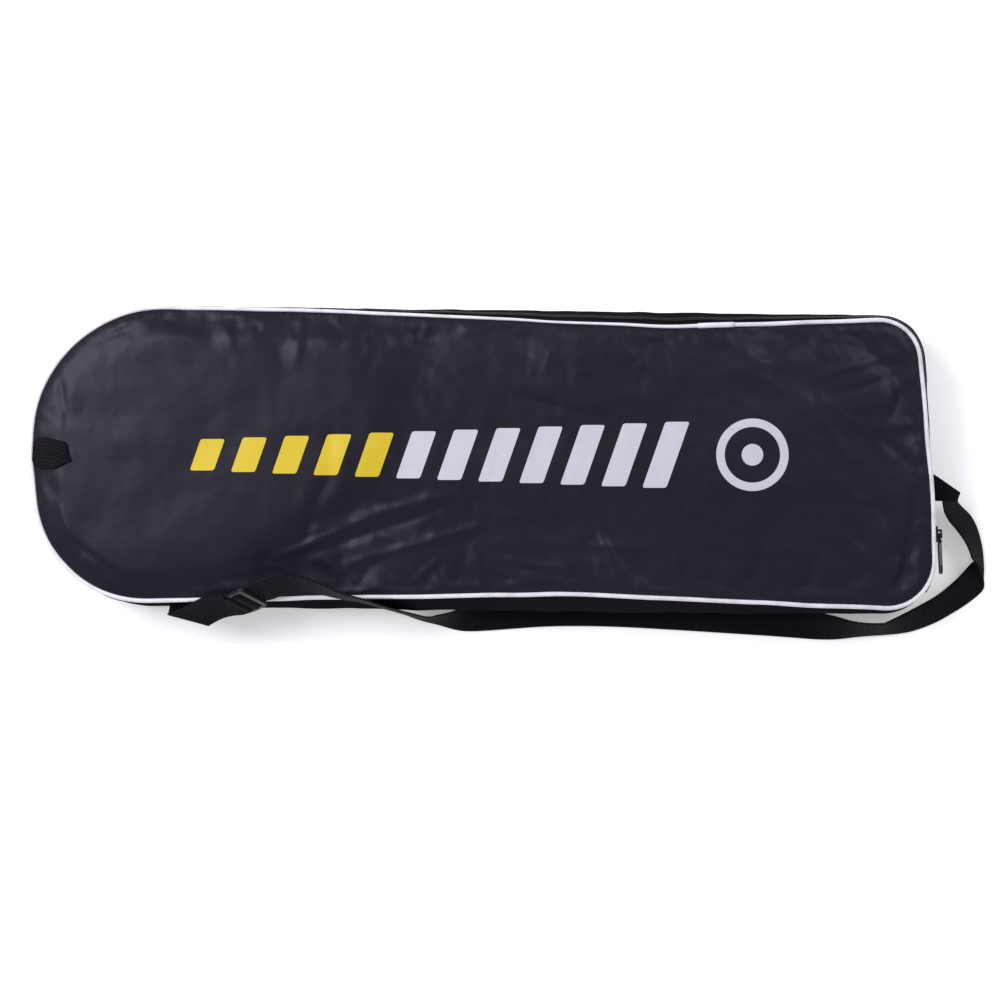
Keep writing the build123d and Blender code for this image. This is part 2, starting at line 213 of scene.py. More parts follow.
def fill(loop, spacing, edge_gap=0.6):
    """Triangles over a closed 2D loop, on an even field of points. The loop's points come first."""
    low, high = loop.min(0), loop.max(0)
    rows = int((high[1] - low[1]) / (spacing * HEX_ROW)) + 1
    columns = int((high[0] - low[0]) / spacing) + 1
    inside = np.array([(low[0] + (c + 0.5 * (r % 2)) * spacing, low[1] + r * spacing * HEX_ROW)
                       for r in range(rows) for c in range(columns)])
    a, b = loop, np.roll(loop, -1, 0)
    crossings = np.zeros(len(inside), int)
    near = np.full(len(inside), 1e9)
    for (x0, y0), (x1, y1) in zip(a, b):
        hit = (y0 > inside[:, 1]) != (y1 > inside[:, 1])
        with np.errstate(divide="ignore", invalid="ignore"):
            cross_x = x0 + (inside[:, 1] - y0) * (x1 - x0) / ((y1 - y0) or 1e-9)
        crossings += hit & (inside[:, 0] < cross_x)
        d = np.array([x1 - x0, y1 - y0])
        t = np.clip(((inside - (x0, y0)) @ d) / max(d @ d, 1e-9), 0, 1)
        near = np.minimum(near, np.hypot(*(inside - (x0, y0) - t[:, None] * d).T))
    inside = inside[(crossings % 2 == 1) & (near > spacing * edge_gap)]
    points = [Vector(p) for p in (*loop, *inside)]
    ring = [(i, (i + 1) % len(loop)) for i in range(len(loop))]
    verts, _, faces, *_ = delaunay_2d_cdt(points, ring, [], 1, 1e-5)
    return np.array([tuple(v) for v in verts]), faces


def tube(name, path, radius, sides, closed=False):
    """A round tube along points in millimetres; radius is a number or one for each point."""
    path = np.array(path, float)
    count = len(path)
    radii = np.broadcast_to(radius, (count,))
    tangent = headings(path, closed)
    side = np.cross((0, 0, 1.0), tangent)
    weak = np.linalg.norm(side, axis=1) < 1e-6
    side[weak] = (1, 0, 0)
    side = unit_rows(side)
    lift = np.cross(tangent, side)
    verts = [
        path[i] + radii[i] * (side[i] * math.cos(a) + lift[i] * math.sin(a))
        for i in range(count)
        for a in (2 * math.pi * k / sides for k in range(sides))
    ]
    faces = hoop_faces(count, sides, closed) + ([] if closed else end_caps(count, sides))
    return mesh_object(name, verts, faces)


def spline(values, share):
    """Catmull-Rom through the rows of values; share runs from 0 to len(values) - 1."""
    values = np.array(values, float)
    i = min(int(share), len(values) - 2)
    t = share - i
    p = [values[min(max(i + k, 0), len(values) - 1)] for k in (-1, 0, 1, 2)]
    return 0.5 * (
        2 * p[1] + (p[2] - p[0]) * t + (2 * p[0] - 5 * p[1] + 4 * p[2] - p[3]) * t * t
        + (3 * p[1] - p[0] - 3 * p[2] + p[3]) * t ** 3
    )


# ================= materials =================
def srgb(r, g, b):
    """A display colour as the linear colour that a material takes."""
    linear = (((c / 255 + 0.055) / 1.055) ** 2.4 if c > 10 else c / 255 / 12.92 for c in (r, g, b))
    return (*linear, 1)


def shade(colour, factor):
    return tuple(c * factor for c in colour[:3]) + (1,)


class Shader:
    """A small helper that wires one procedural material."""

    def __init__(self, name, **settings):
        self.material = bpy.data.materials.new(name)
        self.material.use_nodes = True
        self.tree = self.material.node_tree
        self.bsdf = self.tree.nodes["Principled BSDF"]
        for key, value in settings.items():
            self.bsdf.inputs[key.replace("_", " ")].default_value = value

    def node(self, kind, links=(), **values):
        n = self.tree.nodes.new(kind)
        for key, value in values.items():
            if hasattr(n, key):
                setattr(n, key, value)
            else:
                n.inputs[key.replace("_", " ")].default_value = value
        for socket, source in dict(links).items():
            self.tree.links.new(source, n.inputs[socket])
        return n

    def coords(self, kind="Object"):
        return self.node("ShaderNodeTexCoord").outputs[kind]

    def noise(self, vector, scale, detail=3.0):
        n = self.node("ShaderNodeTexNoise", {"Vector": vector}, Scale=scale, Detail=detail)
        return n.outputs["Fac"]

    def waves(self, vector, scale, direction, distort):
        n = self.node("ShaderNodeTexWave", {"Vector": vector}, Scale=scale, Distortion=distort)
        n.bands_direction = direction
        return n.outputs["Fac"]

    def math(self, operation, a, b):
        n = self.tree.nodes.new("ShaderNodeMath")
        n.operation = operation
        for i, value in enumerate((a, b)):
            if isinstance(value, (int, float)):
                n.inputs[i].default_value = value
            else:
                self.tree.links.new(value, n.inputs[i])
        return n.outputs[0]

    def ramp(self, source, stops):
        n = self.node("ShaderNodeValToRGB", {"Fac": source})
        elements = n.color_ramp.elements
        while len(elements) < len(stops):
            elements.new(0.5)
        for element, (at, colour) in zip(elements, stops):
            element.position, element.color = at, colour
        return n.outputs["Color"]

    def color(self, source):
        self.tree.links.new(source, self.bsdf.inputs["Base Color"])

    def rough(self, source, low, high):
        n = self.node("ShaderNodeMapRange", {"Value": source})
        n.inputs["To Min"].default_value, n.inputs["To Max"].default_value = low, high
        self.tree.links.new(n.outputs["Result"], self.bsdf.inputs["Roughness"])

    def bump(self, source, strength, distance):
        chained = getattr(self, "last_bump", None)
        links = {"Height": source}
        if chained:
            links["Normal"] = chained
        n = self.node("ShaderNodeBump", links, Strength=strength, Distance=distance)
        self.last_bump = n.outputs["Normal"]
        self.tree.links.new(self.last_bump, self.bsdf.inputs["Normal"])


def nylon(name, dark, light, gloss):
    """Thin coated nylon: fine crossed threads, soft patches of colour, a broad gloss."""
    s = Shader(name, Specular_IOR_Level=gloss, Specular_Tint=(0.86, 0.83, 1.0, 1))
    at = s.coords()
    patch = s.noise(at, 9.0)
    threads = s.waves(at, 175.0, "Y", 1.2)
    cross = s.waves(at, 260.0, "X", 0.8)
    mix = s.math("ADD", s.math("MULTIPLY", patch, 0.9), s.math("MULTIPLY", threads, 0.1))
    s.color(s.ramp(mix, [(0.25, dark), (0.75, light)]))
    s.rough(s.noise(at, 45.0), 0.36, 0.46)
    s.bump(s.math("ADD", threads, s.math("MULTIPLY", cross, 0.5)), 0.05, 0.0003)
    s.bump(s.noise(at, 85.0, 6.0), 0.2, 0.0012)
    return s.material


RIB_PITCH, COLUMN_PITCH = 0.0019, 0.0031  # the webbing's ribs in metres: along it and across it


def webbing_material(name, dark, light):
    """Ribbed webbing: rows of short ribs in columns, laid out on the ribbon's own map. Its colour follows
    the ribs' height: painted shade in the grooves, lighter crests, plus some random mottle.
    """
    s = Shader(name, Roughness=0.62, Specular_IOR_Level=0.06)
    uv = s.coords("UV")
    split = s.node("ShaderNodeSeparateXYZ", {"Vector": uv})
    along, across = split.outputs["X"], split.outputs["Y"]
    rib = s.math("SINE", s.math("MULTIPLY", along, 2 * math.pi / RIB_PITCH), 0)
    column = s.math("SINE", s.math("MULTIPLY", across, 2 * math.pi / COLUMN_PITCH), 0)
    checks = s.math("MULTIPLY", rib, column)
    weave = s.math("ADD", s.math("MULTIPLY", checks, 0.3), s.math("MULTIPLY", rib, 0.2))
    height = s.math("ADD", weave, 0.5)
    # painted shade: the colour darkens into the grooves between the ribs and lightens on their crests; a
    # quarter of it is random mottle
    tone_shift = s.math("ADD", s.math("MULTIPLY", height, 0.75), s.math("MULTIPLY", s.noise(uv, 400.0), 0.25))
    s.color(s.ramp(tone_shift, [(0.38, dark), (0.66, light)]))
    s.bump(height, 1.0, 0.0012)
    s.bump(s.noise(uv, 1500.0), 0.3, 0.0003)
    return s.material


def plastic(name, colour, rough=(0.35, 0.5)):
    """Moulded plastic with a fine grain and slightly uneven gloss and colour."""
    s = Shader(name)
    at = s.coords()
    s.color(s.ramp(s.noise(at, 30.0), [(0.3, shade(colour, 0.8)), (0.7, colour)]))
    s.rough(s.noise(at, 60.0), *rough)
    s.bump(s.noise(at, 420.0, 4.0), 0.3, 0.00015)
    return s.material


def metal(name, colour, rough, metallic):
    """Metal or enamel, a little brighter and rougher where it is rubbed."""
    s = Shader(name, Metallic=metallic)
    at = s.coords()
    tone_shift = tuple(min(1, c * 1.6 + 0.01) for c in colour[:3]) + (1,)
    s.color(s.ramp(s.noise(at, 350.0), [(0.35, colour), (0.75, tone_shift)]))
    s.rough(s.noise(at, 500.0), *rough)
    s.bump(s.noise(at, 900.0), 0.2, 0.0001)
    return s.material


def vinyl(name, colour):
    """Soft white piping: smooth, with faint creases and slight grime."""
    s = Shader(name, Subsurface_Weight=0.08, Coat_Weight=0.15, Coat_Roughness=0.3)
    at = s.coords()
    s.color(s.ramp(s.noise(at, 70.0), [(0.25, shade(colour, 0.78)), (0.55, colour)]))
    s.rough(s.noise(at, 140.0), 0.38, 0.52)
    s.bump(s.noise(at, 380.0), 0.35, 0.0004)
    return s.material


NYLON = nylon("coated_nylon", srgb(20, 18, 25), srgb(28, 26, 36), 0.2)
# painted shade: the side walls and back get a copy of the panel's nylon with its gloss left out, so they
# stay dark as if in shade
NYLON_SIDE_SHADED = nylon("coated_nylon_sides_shaded", srgb(24, 22, 26), srgb(33, 30, 36), 0.0)
# the webbing's near-black first colour is the painted shade in its grooves
WEBBING = webbing_material("black_webbing", srgb(3, 2, 4), srgb(37, 33, 40))
VINYL = vinyl("white_piping", srgb(222, 217, 226))
TAPE = nylon("zip_tape", srgb(20, 18, 22), srgb(32, 29, 35), 0.0)
COIL = plastic("zip_coil", srgb(26, 26, 29), (0.3, 0.42))
BLACK_ENAMEL = metal("black_enamel", srgb(30, 30, 33), (0.25, 0.38), 0.6)
BLACK_PLASTIC = plastic("black_plastic", srgb(12, 11, 14), (0.42, 0.55))


def paint(obj, material):
    obj.data.materials.clear()
    obj.data.materials.append(material)


def dress(obj, material, body, slot, *stands_for):
    """Give a piece its material, hide the CAD nodes it stands for and attach it to its body; a piece with no
    body stays unattached.
    """
    paint(obj, material)
    if stands_for:
        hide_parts(*stands_for)
    if body:
        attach(obj, body)
    return obj


# ================= camera, light and floor =================
FLOOR_REACH = 60000  # so far that the floor ends near the horizon
FLOOR_DROP = 0.0004
VIEW_X, VIEW_Y = 13.3, -37.4
SOFTBOX_COLOUR = (1.0, 0.985, 1.0)
VIEW_WIDTH = 830.0  # what the picture spans at the front panel's level
VIEW_DISTANCE = 1600.0


def camera():
    data = bpy.data.cameras.new("camera")
    data.sensor_width = 36.0
    data.lens = 18.0 / (VIEW_WIDTH / 2 / VIEW_DISTANCE)
    obj = bpy.data.objects.new("camera", data)
    obj.location = Vector((VIEW_X, VIEW_Y, PANEL_TOP + VIEW_DISTANCE)) * MM
    bpy.context.scene.collection.objects.link(obj)
    bpy.context.scene.camera = obj


def area_light(name, at, size, power, colour):
    """A square light that faces the middle of the bag."""
    data = bpy.data.lights.new(name, "AREA")
    data.energy, data.size, data.color = power, size, colour
    obj = bpy.data.objects.new(name, data)
    obj.location = at
    obj.rotation_mode = "QUATERNION"
    obj.rotation_quaternion = (Vector((0, 0, 0)) - Vector(at)).to_track_quat("-Z", "Y")
    bpy.context.scene.collection.objects.link(obj)


def studio():
    world = bpy.data.worlds.new("studio")
    bpy.context.scene.world = world
    world.use_nodes = True
    background = world.node_tree.nodes["Background"]
    background.inputs["Color"].default_value = (0.97, 0.94, 1.0, 1)
    background.inputs["Strength"].default_value = 0.46
    area_light("softbox_left", (-1.15, 0.6, 1.55), 1.1, 34, SOFTBOX_COLOUR)
    area_light("softbox_right", (1.25, 1.1, 1.6), 0.9, 13, SOFTBOX_COLOUR)
    area_light("softbox_front", (0.3, -1.9, 1.3), 1.2, 3, (1, 1, 1))
    view = bpy.context.scene.view_settings
    view.view_transform = "Standard"
    view.look = "None"


def pale_floor():
    corners = [(x * FLOOR_REACH, y * FLOOR_REACH, 0) for x, y in ((-1, -1), (1, -1), (1, 1), (-1, 1))]
    floor = mesh_object("floor", corners, [(0, 1, 2, 3)])
    s = Shader("pale_floor", Roughness=0.9, Specular_IOR_Level=0.05, Emission_Strength=0.3)
    s.bsdf.inputs["Emission Color"].default_value = (1, 1, 1, 1)
    shades = [(0.3, (0.93, 0.925, 0.94, 1)), (0.7, (0.95, 0.945, 0.955, 1))]
    s.color(s.ramp(s.noise(s.coords(), 3.0), shades))
    floor.data.materials.append(s.material)
    floor.location.z = -FLOOR_DROP


camera()
studio()
pale_floor()

# ================= the rim that panel, piping and side walls share =================
front_loop, COUNTS = outline(FRONT)
belly_loop, _ = outline(BELLY, COUNTS)
base_loop, _ = outline(BASE, COUNTS)
RIM_N = len(front_loop)
rim_out = normals_of(front_loop)
if (rim_out * front_loop).sum() < 0:
    rim_out = -rim_out


def rim_height(x, y):
    """The seam rises and dips a little where the panel is full or slack."""
    return 0.9 * wave(x, y, scale=70, seed=3.1) + 0.35 * wave(x, y, scale=18, seed=8.2)


def rim_sway(x, y):
    """The seam isn't sewn quite true: how far it strays outwards."""
    return 0.7 * wave(x, y, scale=42, seed=5.5)


rim_z = np.array([PIPE_Z + rim_height(x, y) for x, y in front_loop])
rim_xy = front_loop + rim_out * np.array([rim_sway(x, y) for x, y in front_loop])[:, None]


def smooth(t):
    """0 to 1 with soft ends."""
    t = np.clip(t, 0.0, 1.0)
    return t * t * (3 - 2 * t)


# ---- front panel ----
PANEL_STEP = 5.0  # spacing of the points in the panel
SEAM_IN = 1.3  # how far the panel's cut edge is inside the seam


def ball_rise(x, y):
    """1 over the balls at the round end, 0 past the slanting edge where the cloth drops off them."""
    low = np.clip(-y / 95, 0, None)
    edge = -86 + 0.15 * y - 112 * low ** 1.6
    return 1 / (1 + np.exp((x - edge) / 9))


def panel_swell(x, y):
    """How far the contents lift the panel: a round rise over the balls, lower over the rest."""
    left = ball_rise(x, y)
    middle = np.exp(-(((x - 80) / 190) ** 4 + ((y - 24) / 70) ** 4))
    right = np.exp(-(((x - 262) / 84) ** 4 + ((y - 2) / 84) ** 4))
    return 6.0 * left + 3.0 * middle + 2.6 * right


def crease(x, y, a, b, width, depth):
    """A soft straight fold from a to b."""
    (ax, ay), (bx, by) = a, b
    dx, dy = bx - ax, by - ay
    t = np.clip(((x - ax) * dx + (y - ay) * dy) / (dx * dx + dy * dy), 0, 1)
    off = np.hypot(x - ax - t * dx, y - ay - t * dy)
    fade = np.sin(math.pi * np.clip(t, 0.02, 0.98)) ** 0.5
    return depth * fade * np.exp(-((off / (0.75 * width)) ** 2))


# folds and creases in the panel: from, to, width, and height (below 0 for a valley)
CREASES = [
    # fanning out from the strap side past the balls
    ((-172, -84), (-92, -52), 4.5, 1.9), ((-150, -84), (-40, -46), 5, -1.7),
    ((-165, -70), (-20, -30), 6, 1.5), ((-120, -92), (0, -58), 4.5, 1.3),
    ((-132, -20), (-150, -72), 7, -1.8), ((-126, 20), (-130, -40), 8, -1.0),
    # across the middle
    ((0, 70), (70, 40), 6, 0.9), ((20, 50), (118, 26), 5, -0.9), ((-70, 92), (-30, 60), 6, 0.8),
    # along the strap side
    ((96, -62), (112, -104), 4, 1.8), ((104, -66), (124, -100), 3.5, -1.6), ((84, -70), (92, -100), 4, -1.0),
    ((0, -84), (70, -96), 4, 1.1), ((20, -92), (86, -104), 3.5, -1.2), ((40, -72), (150, -78), 5, 0.7),
    ((158, -78), (165, -112), 2.4, 1.2), ((200, -84), (214, -116), 4, 0.8),
    # at the square end
    ((330, -95), (296, -66), 5, 1.2), ((352, -88), (326, -40), 6, -1.6), ((346, -66), (360, 10), 6, 1.3),
    ((338, -110), (350, -74), 4, 1.4), ((330, 20), (352, 60), 6, -1.1), ((268, 62), (340, 84), 5, 1.0),
    ((286, 48), (346, 66), 5, -0.9), ((300, 96), (346, 78), 4, 0.8), ((190, 66), (262, 84), 6, 0.7),
    # along the far side and round the round end
    ((-150, 112), (-156, 74), 5, 0.9), ((-92, 108), (-104, 80), 4, -0.9), ((-215, 112), (-207, 86), 5, 0.8),
    ((-322, 92), (-286, 110), 4, -1.2), ((-352, 66), (-344, 26), 4, -0.9),
    ((-338, -72), (-306, -98), 5, -1.1), ((-352, -40), (-338, -76), 4, 0.9),
    ((-286, -108), (-250, -112), 4, 0.8), ((-60, -108), (-36, -84), 3.5, 0.9),
    ((-196, -96), (-232, -104), 5, 0.8), ((60, 96), (50, 70), 4, 0.8), ((136, 92), (128, 70), 4, 0.7),
    # the roll and the puckers beside the square end's seam
    ((338, 70), (334, -116), 20, 1.7), ((352, -22), (356, -64), 7, -1.5), ((327, 16), (354, -8), 6, -1.5),
    ((357, -56), (342, -120), 7, -2.0), ((347, -119), (364, -98), 4, 1.3), ((352, 36), (364, 0), 6, -1.0),
    ((356, -122), (370, -106), 3.5, -0.9), ((296, -20), (336, -84), 10, 1.0),
    ((250, -50), (320, -104), 9, -0.9),
]
PUFF_CAP = 1.8  # the most that the cloth's own puff may lift the panel
CLOTH_FRAMES = 24


def waves_at(x, y, scale, seed):
    """wave for rows of x and y."""
    return np.array([wave(a, b, scale=scale, seed=seed) for a, b in zip(x, y)])


def ridge(x, y, scale, seed):
    """Noise with sharp crests, like crumpled cloth."""
    return 0.5 - 2 * np.abs(waves_at(x, y, scale, seed))


def seam_pucker(x, y, from_seam):
    """Short gathers that run in from the seam, and the soft roll of cloth beside it."""
    gather = waves_at(x, y, 9, 4.9) * np.exp(-from_seam / 10) * (1 - np.exp(-from_seam / 2))
    roll = np.exp(-((from_seam - 9) / 6) ** 2)
    return 1.3 * gather + 0.8 * roll


def panel_relief(x, y, from_seam):
    """How far the finished cloth stands above the plain panel."""
    inset = smooth(from_seam / 26)
    folds = sum(crease(x, y, *c) for c in CREASES)
    bend = 14 * waves_at(x, y, 60, 8.3)
    broad = ridge(x * 0.6 + bend, y + 0.4 * x + bend, 26, 6.1)
    fine = ridge(x + bend, y * 0.8, 12, 1.9)
    crumple = 0.75 * broad + 0.34 * fine
    crumple *= 1 - 0.78 * ball_rise(x, y)
    return (inset * (panel_swell(x, y) + 0.7 * waves_at(x, 1.5 * y, 48, 2.4))
            + smooth(from_seam / 14) * (folds + crumple) + seam_pucker(x, y, from_seam))


def panel_relax(obj, rim_count):
    """Cloth: a panel cut a little too large for its seam puckers against it."""
    group = obj.vertex_groups.new(name="seam")
    group.add(list(range(rim_count)), 1.0, "REPLACE")
    cloth = obj.modifiers.new("cloth", "CLOTH")
    s = cloth.settings
    s.quality = 6
    s.mass = 0.15
    s.tension_stiffness = s.compression_stiffness = 12
    s.shear_stiffness = 4
    s.bending_stiffness = 0.12
    s.tension_damping = s.compression_damping = 5
    s.air_damping = 2
    s.vertex_group_mass = "seam"
    s.shrink_min = -0.012
    s.use_pressure = True
    s.uniform_pressure_force = 0.6
    s.effector_weights.gravity = 0
    cloth.point_cache.frame_start, cloth.point_cache.frame_end = 1, CLOTH_FRAMES
    for f in range(1, CLOTH_FRAMES + 1):
        bpy.context.scene.frame_set(f)
    applied(obj)
    bpy.context.scene.frame_set(1)


def edge_distance(points, loop):
    """How far each point is from the nearest point of a loop."""
    return np.array([np.min(np.hypot(loop[:, 0] - x, loop[:, 1] - y)) for x, y in points])


def front_panel():
    inner = rim_xy - rim_out * SEAM_IN
    flat, faces = fill(inner, PANEL_STEP)
    verts = []
    for i, (x, y) in enumerate(flat):
        if i < RIM_N:
            verts.append((x, y, rim_z[i] + 0.1))
        else:
            verts.append((x, y, PIPE_Z + 0.8 + 0.5 * wave(x, y, scale=26, seed=1.7) + rim_height(x, y)))
    obj = mesh_object("front_panel_skin", verts, faces)
    start = np.array([v.co for v in obj.data.vertices])
    panel_relax(obj, RIM_N)
    for v, rest in zip(obj.data.vertices, start):
        v.co.z = rest[2] + PUFF_CAP * MM * math.tanh((v.co.z - rest[2]) / MM / PUFF_CAP)
    subdivided(obj)
    co = np.array([v.co for v in obj.data.vertices]) / MM
    rise = panel_relief(co[:, 0], co[:, 1], edge_distance(co[:, :2], inner))
    for v, up in zip(obj.data.vertices, rise):
        v.co.z += up * MM
    return obj


panel = front_panel()
panel_tree = BVHTree.FromPolygons(
    [v.co.copy() for v in panel.data.vertices], [tuple(p.vertices) for p in panel.data.polygons])


def panel_height(x, y):
    """The level of the panel's face."""
    hit = panel_tree.ray_cast(Vector((x * MM, y * MM, 0.2)), Vector((0, 0, -1)))[0]
    return hit.z / MM if hit else PANEL_TOP


solidify(panel, 0.9)
dress(panel, NYLON, None, "bag_fabric", "front_panel", "front_edge_strip")

# ---- piping: one tube round the whole seam ----
pipe_path = np.column_stack([rim_xy, rim_z])
# how much of the piping shows where the far side rolls over it: (x, share of its radius)
PIPE_SHOWS = [(-330, 1.0), (-169, 0.85), (-28, 0.75), (54, 0.55), (137, 0.75), (195, 0.95), (300, 1.0)]
PIPE_OUT = 0.74  # the share of the piping's radius that stands out of the seam
SLEEVE_PROUD = 0.55  # how far the tube over the piping's join stands out from it


def pipe_radius(x, y):
    share = np.interp(x, *zip(*PIPE_SHOWS)) if y > 60 else 1.0
    return PIPE_R * PIPE_OUT * share * (0.97 + 0.06 * wave(x, y, scale=25, seed=6.6))


piping = tube("piping_cord", pipe_path, [pipe_radius(x, y) for x, y in rim_xy], closed=True, sides=12)
dress(piping, VINYL, None, "piping", "front_piping", "front_piping_fixed")

sleeve_low, sleeve_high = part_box("piping_sleeve")
joint = [i for i, (x, y) in enumerate(rim_xy) if sleeve_low.x <= x * MM <= sleeve_high.x and y > 0]
sleeve_radii = [pipe_radius(x, y) + SLEEVE_PROUD for x, y in rim_xy[joint]]
sleeve = tube("piping_joint", pipe_path[joint], sleeve_radii, sides=12)
dress(sleeve, VINYL, "front_flap", "piping", "piping_sleeve")

# ---- side walls ----
WALL_LOW, WALL_TOP = 0.6, 58.0
WALL_LEVELS = np.concatenate([np.linspace(WALL_LOW, TAPE_LOW, 9), np.linspace(TAPE_LOW, ZIP_MID, 5)[1:],
                              np.linspace(ZIP_MID, WALL_TOP, 5)[1:]])
BELLY_Z = 30.0
LEVEL_SLIP = 0.01  # levels this close count as the same


def wall_point(i, z):
    """The side wall at rim point i: in at the base, full at the belly, in again under the piping."""
    if z < BELLY_Z:
        share = math.sin(math.pi / 2 * z / BELLY_Z) ** 0.8
        xy = base_loop[i] + (belly_loop[i] - base_loop[i]) * share
    else:
        share = smooth((z - BELLY_Z) / (WALL_TOP - BELLY_Z))
        xy = belly_loop[i] + (rim_xy[i] - rim_out[i] * 0.6 - belly_loop[i]) * share
    x, y = xy
    slack = math.sin(math.pi * min(z / WALL_TOP, 1.0))
    ripple = 1.1 * wave(x, y, z * 0.5, scale=30, seed=4.4) + 0.5 * wave(x, y, z, scale=11, seed=9.1)
    return np.array([*(xy + rim_out[i] * ripple * slack), z])


def wall(name, low, high, keep, thick):
    """The part of the side wall between two levels, at the rim points that keep allows."""
    levels = [z for z in WALL_LEVELS if low - LEVEL_SLIP <= z <= high + LEVEL_SLIP]
    verts, faces = [], []
    for i in range(RIM_N):
        top = rim_z[i] - 1.2
        for z in levels:
            level = z if z < high - LEVEL_SLIP or high < WALL_TOP else top
            verts.append(wall_point(i, min(level, WALL_TOP)))
    rows = len(levels)
    for i in range(RIM_N):
        j = (i + 1) % RIM_N
        for k in range(rows - 1):
            if keep(front_loop[i], levels[k]) and keep(front_loop[j], levels[k]):
                faces.append((i * rows + k, j * rows + k, j * rows + k + 1, i * rows + k + 1))
    obj = mesh_object(name, verts, faces)
    loose = bmesh.new()
    loose.from_mesh(obj.data)
    bmesh.ops.delete(loose, geom=[v for v in loose.verts if not v.link_faces], context="VERTS")
    bmesh.ops.recalc_face_normals(loose, faces=loose.faces)
    loose.to_mesh(obj.data)
    loose.free()
    return solidify(subdivided(obj), thick)


def strap_side(p):
    return p[1] < FOLD_Y


gusset = wall("gusset_skin", 0.0, WALL_TOP, lambda p, z: z < TAPE_LOW - LEVEL_SLIP or strap_side(p), 1.1)
dress(gusset, NYLON_SIDE_SHADED, "bag", "bag_fabric", "gusset_zip_side", "gusset_fold_side")
lower_tape = wall("lower_zip_tape", TAPE_LOW, ZIP_MID, lambda p, z: not strap_side(p), 0.8)
dress(lower_tape, TAPE, "bag", "zip_tape", "zip_tape_lower")
upper_tape = wall("upper_zip_tape", ZIP_MID, WALL_TOP, lambda p, z: not strap_side(p), 0.8)
dress(upper_tape, TAPE, None, "zip_tape", "zip_tape_upper")

# bake the placement of the pieces with no body into their meshes
for piece in (panel, piping, upper_tape):
    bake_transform(piece)


# ================= zip =================
# Known fault: the rim's first point is part of the way round the zip. A coil that follows these points in
# order has a gap of one step there, and runs straight across inside the bag beside the fold line.
zip_side = [i for i in range(RIM_N) if not strap_side(front_loop[i])]
TOOTH_PITCH = 2.1
TOOTH_OUT = 1.25
TOOTH_HIGH = 1.0
TOOTH_WIRE = 0.42
COIL_OFF = 0.95  # how far each coil's line is above or below the zip's middle
TURN_POINTS = 7


def zip_line(z):
    """The coils' line, just outside the wall."""
    return np.array([wall_point(i, z) + np.array([*rim_out[i], 0]) for i in zip_side])


def coil(name, z, phase):
    """The zip's coil: wire wound round a line along the tape's edge."""
    line = zip_line(z)
    out = rim_out[zip_side]
    steps = np.linalg.norm(np.diff(line, axis=0), axis=1)
    run = np.concatenate([[0], np.cumsum(steps)])
    turns = int(run[-1] / TOOTH_PITCH)
    at = np.linspace(0, run[-1], turns * TURN_POINTS)
    centre = np.column_stack([np.interp(at, run, line[:, c]) for c in range(3)])
    away = np.column_stack([np.interp(at, run, out[:, c]) for c in range(2)])
    angle = 2 * math.pi * at / TOOTH_PITCH + phase
    wound = centre.copy()
    wound[:, :2] += away * (TOOTH_OUT * 0.5 * np.cos(angle))[:, None]
    wound[:, 2] += TOOTH_HIGH * np.sin(angle)
    return tube(name, wound, TOOTH_WIRE, sides=4)


lower_coil = coil("lower_zip_coil", ZIP_MID - COIL_OFF, 0.0)
dress(lower_coil, COIL, "bag", "zip_coil", "zip_coil_lower")
upper_coil = coil("upper_zip_coil", ZIP_MID + COIL_OFF, math.pi)
dress(upper_coil, COIL, None, "zip_coil", "zip_coil_upper")
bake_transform(upper_coil)


COVER_HIGH = 17.0
COVER_COLUMNS, COVER_ROWS = 5, 7
COVER_AT = (372, FOLD_Y - 5)


def rim_point_near(x, y):
    return min(range(RIM_N), key=lambda i: np.hypot(*(front_loop[i] - (x, y))))


def zip_end(name, ends):
    """A folded scrap of tape sewn over each end of the zip."""
    verts, faces = [], []
    half = COVER_ROWS // 2
    for middle in ends:
        base = len(verts)
        for k in range(COVER_COLUMNS):
            i = (middle + k - COVER_COLUMNS // 2) % RIM_N
            for m in range(COVER_ROWS):
                z = ZIP_MID + COVER_HIGH * (m - half) / (2 * half)
                proud = 1.2 - 0.4 * abs(m - half) / half
                verts.append(wall_point(i, z) + np.array([*rim_out[i], 0]) * proud)
        for k in range(COVER_COLUMNS - 1):
            for m in range(COVER_ROWS - 1):
                a = base + k * COVER_ROWS + m
                faces.append((a, a + COVER_ROWS, a + COVER_ROWS + 1, a + 1))
    return solidify(mesh_object(name, verts, faces), 1.0)


end_points = [rim_point_near(side * COVER_AT[0], COVER_AT[1]) for side in (-1, 1)]
dress(zip_end("zip_end_covers", end_points), TAPE, "bag", "zip_tape", "zip_end_tabs")

# ================= webbing =================
WEB_W, WEB_T = 25.0, 1.5
ROUTE_STEPS, TURN_STEPS = 12, 110


def route_points(points):
    """Points along the smooth line that a row of control points guides."""
    curve = bpy.data.curves.new("route", "CURVE")
    curve.dimensions = "3D"
    curve.resolution_u = ROUTE_STEPS
    line = curve.splines.new("NURBS")
    line.points.add(len(points) - 1)
    for control, p in zip(line.points, points):
        control.co = (*p, 1)
    line.order_u = 3
    line.use_endpoint_u = True
    obj = bpy.data.objects.new("route", curve)
    bpy.context.scene.collection.objects.link(obj)
    dg = bpy.context.evaluated_depsgraph_get()
    mesh = bpy.data.meshes.new_from_object(obj.evaluated_get(dg))
    out = np.array([tuple(v.co) for v in mesh.vertices])
    bpy.data.objects.remove(obj)
    bpy.data.curves.remove(curve)
    bpy.data.meshes.remove(mesh)
    return out


def web_section(width, thick):
    """Points round a flat webbing's cross-section: (across, above)."""
    across = [-0.5, -0.46, -0.3, -0.1, 0.1, 0.3, 0.46, 0.5]
    top = [(a * width, (0.18 if abs(a) == 0.5 else 0.5) * thick) for a in across]
    return top + [(a, -b) for a, b in top[::-1]]


